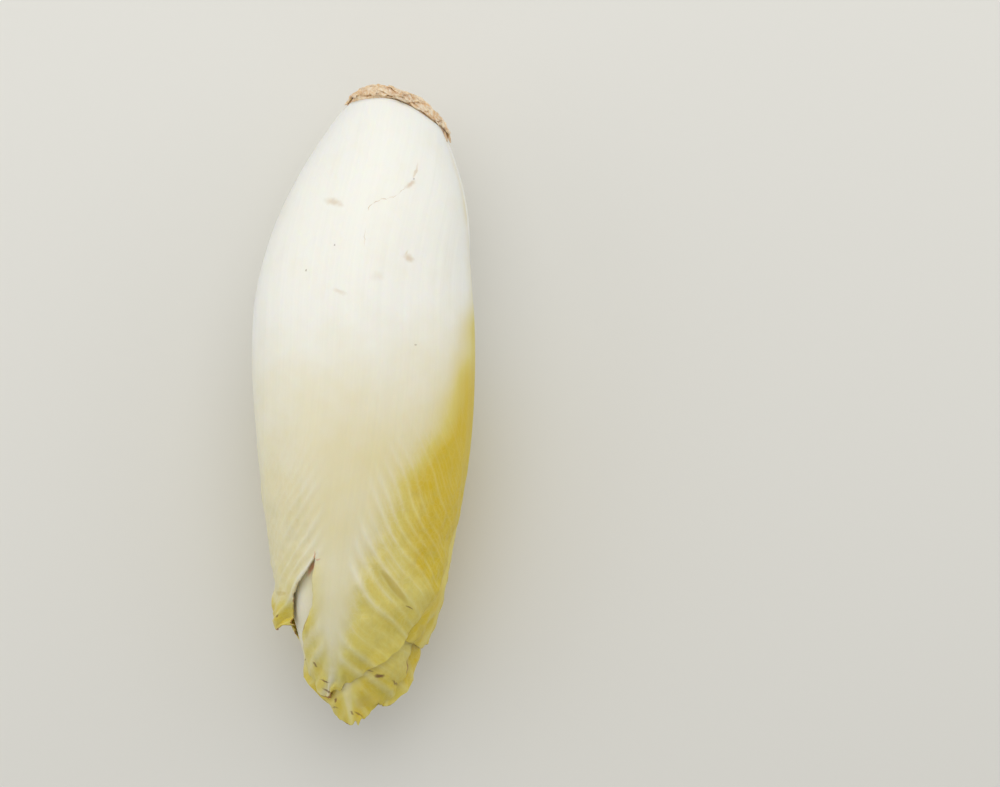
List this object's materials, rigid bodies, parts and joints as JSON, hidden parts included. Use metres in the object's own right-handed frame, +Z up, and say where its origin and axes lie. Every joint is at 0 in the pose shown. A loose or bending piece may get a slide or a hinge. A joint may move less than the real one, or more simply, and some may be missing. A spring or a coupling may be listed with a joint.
{
  "type": "belgian endive",
  "caption": "Head of belgian endive lying on its side: a tight spindle of broad wrapped leaves with ragged yellow tips, on a short stem with a browned cut butt.",
  "frame": {"origin": "on the ground under the middle of the head's box", "axes": "+Y from the tip to the cut butt, +Z up out of the face of the outermost leaf, +X to the right seen from above with the butt away"},
  "size_m": [0.0621, 0.1797, 0.0584],
  "materials": {
    "leaf": "waxy satin plant tissue, white to cream, turning yellow at the edges and tip",
    "heart": "waxy satin plant tissue, pale yellow",
    "stem": "dry browned cut tissue, dull"
  },
  "bodies": {
    "root": {"stem": "stem", "heart": "heart", "leaf_01": "leaf", "leaf_02": "leaf", "leaf_03": "leaf", "leaf_04": "leaf", "leaf_05": "leaf", "leaf_06": "leaf", "leaf_07": "leaf", "leaf_08": "leaf", "leaf_09": "leaf", "leaf_10": "leaf", "leaf_11": "leaf", "leaf_12": "leaf", "leaf_13": "leaf", "leaf_14": "leaf"}
  },
  "joints": []
}
